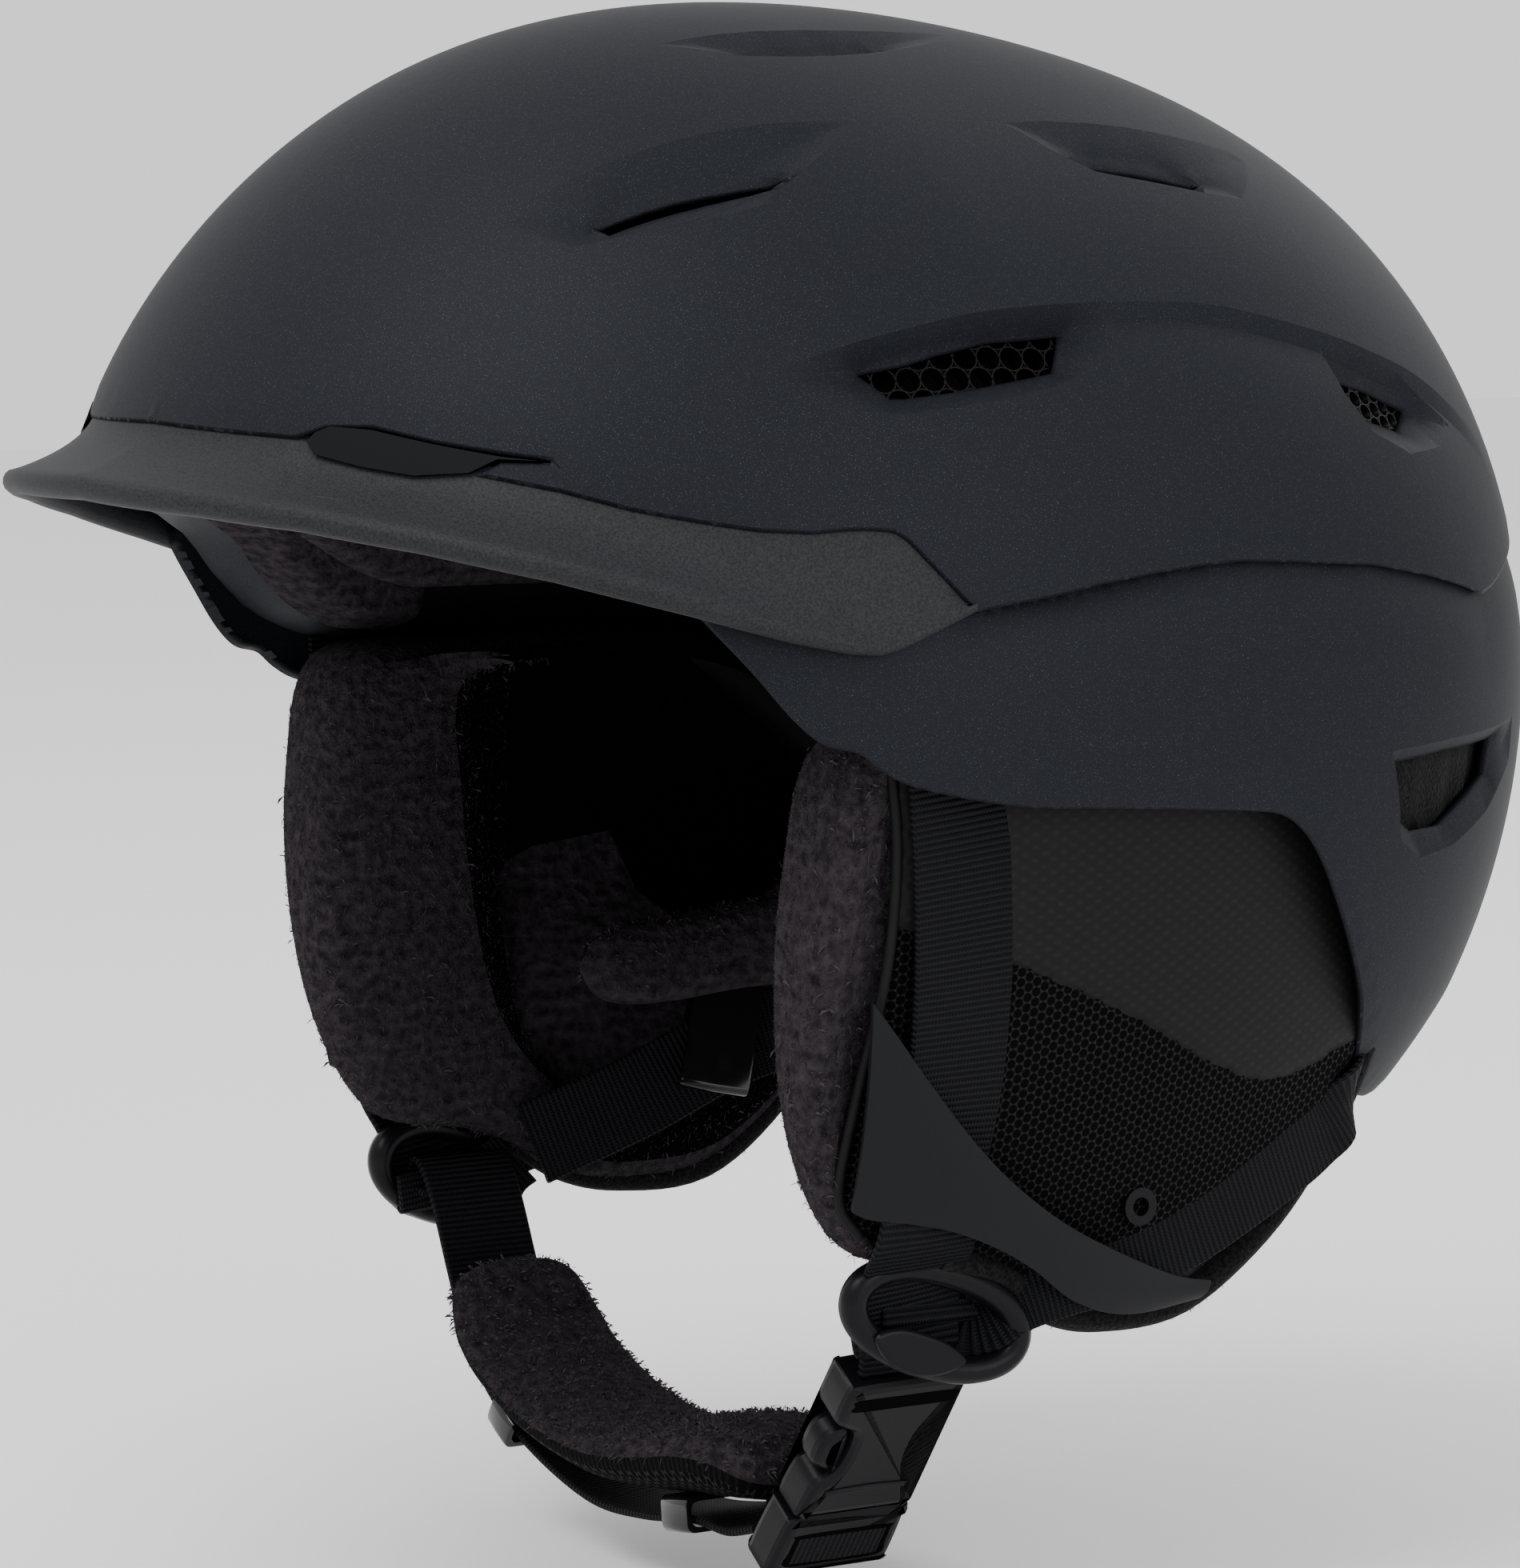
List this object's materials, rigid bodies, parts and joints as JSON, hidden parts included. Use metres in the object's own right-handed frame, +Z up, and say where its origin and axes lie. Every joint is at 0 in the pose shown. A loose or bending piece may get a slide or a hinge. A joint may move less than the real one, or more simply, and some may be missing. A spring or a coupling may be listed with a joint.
{
  "type": "ski helmet",
  "caption": "Full-shell ski helmet with soft brim, vents with grilles, fleece ear pads, padded chin strap with side-release buckle, fit dial and goggle clip.",
  "frame": {"origin": "middle of the head cavity, where a head's centre would be", "axes": "-Y is the way the wearer looks, +X is the wearer's left, +Z is up"},
  "size_m": [0.2158, 0.2781, 0.2622],
  "materials": {
    "shell": "matte black with a faint cool fleck",
    "foam": "black foam",
    "soft_rubber": "fine speckled matte",
    "fleece": "short plush pile",
    "webbing": "woven with cross ribs",
    "plastic": "satin moulded"
  },
  "bodies": {
    "helmet": {"audio_grommet_left": "plastic", "audio_grommet_right": "plastic", "brim": "soft_rubber", "brim_insert_left": "shell", "brim_insert_right": "shell", "comfort_liner": "fleece", "crown_pad": "fleece", "ear_pad_left": "fleece", "ear_pad_right": "fleece", "ear_wing_left": "plastic", "ear_wing_right": "plastic", "eps_liner": "foam", "fit_housing": "plastic", "front_anchor_left": "plastic", "front_anchor_right": "plastic", "front_strap_left": "webbing", "front_strap_right": "webbing", "goggle_clip_base": "plastic", "lower_shell": "shell", "nape_keeper_left": "plastic", "nape_keeper_right": "plastic", "nape_pad": "fleece", "nape_strap": "webbing", "rear_anchor_left": "plastic", "rear_anchor_right": "plastic", "rear_grille_left": "plastic", "rear_grille_right": "plastic", "rear_strap_left": "webbing", "rear_strap_right": "webbing", "side_grille_left": "plastic", "side_grille_right": "plastic", "strap_divider_left": "plastic", "strap_divider_right": "plastic", "upper_shell": "shell"},
    "chin_strap": {"chin_strap_left": "webbing", "chin_strap_right": "webbing", "chin_pad": "fleece", "chin_keeper_1": "plastic", "chin_keeper_2": "plastic", "buckle_socket": "plastic"},
    "plug": {"buckle_plug": "plastic"},
    "prong_front": {"buckle_prong_front": "plastic"},
    "prong_rear": {"buckle_prong_rear": "plastic"},
    "dial": {"fit_dial": "plastic"},
    "band_left": {"fit_band_left": "plastic"},
    "band_right": {"fit_band_right": "plastic"},
    "clip_hook": {"goggle_clip_hook": "plastic"}
  },
  "joints": [
    {"name": "chin_strap_swing", "type": "hinge", "parent": "helmet", "child": "chin_strap", "pos_m": [0, -0.026, -0.1145], "axis": [1, 0, 0], "range_deg": [-25, 29]},
    {"name": "plug_release", "type": "slide", "parent": "chin_strap", "child": "plug", "axis": [-0.5822, 0, -0.8131], "range_m": [0, 0.024], "deforming": ["buckle_prong_front", "buckle_prong_rear"]},
    {"name": "prong_front_press", "type": "hinge", "parent": "plug", "child": "prong_front", "pos_m": [0.05345, -0.0326, -0.14921], "axis": [-0.8131, 0, 0.5822], "range_deg": [0, 5], "stiffness_Nm_per_rad": 0.02},
    {"name": "prong_rear_press", "type": "hinge", "parent": "plug", "child": "prong_rear", "pos_m": [0.05345, -0.0194, -0.14921], "axis": [0.8131, 0, -0.5822], "range_deg": [0, 5], "stiffness_Nm_per_rad": 0.02},
    {"name": "fit_dial_turn", "type": "hinge", "parent": "helmet", "child": "dial", "pos_m": [0, 0.0994, -0.059], "axis": [0, 1, 0], "range_deg": [0, 270]},
    {"name": "band_left_draw", "type": "hinge", "parent": "helmet", "child": "band_left", "pos_m": [0, 0.022, -0.057], "axis": [0, 0, 1], "range_deg": [0, 7.5]},
    {"name": "band_right_draw", "type": "hinge", "parent": "helmet", "child": "band_right", "pos_m": [0, 0.022, -0.057], "axis": [0, 0, -1], "range_deg": [0, 7.5]},
    {"name": "clip_hook_open", "type": "hinge", "parent": "helmet", "child": "clip_hook", "pos_m": [0, 0.13195, -0.004], "axis": [1, 0, 0], "range_deg": [0, 70], "stiffness_Nm_per_rad": 0.05}
  ],
  "couplings": [
    {"joint": "band_left_draw", "follows": "fit_dial_turn", "ratio": 0.0277},
    {"joint": "band_right_draw", "follows": "fit_dial_turn", "ratio": 0.0277}
  ]
}
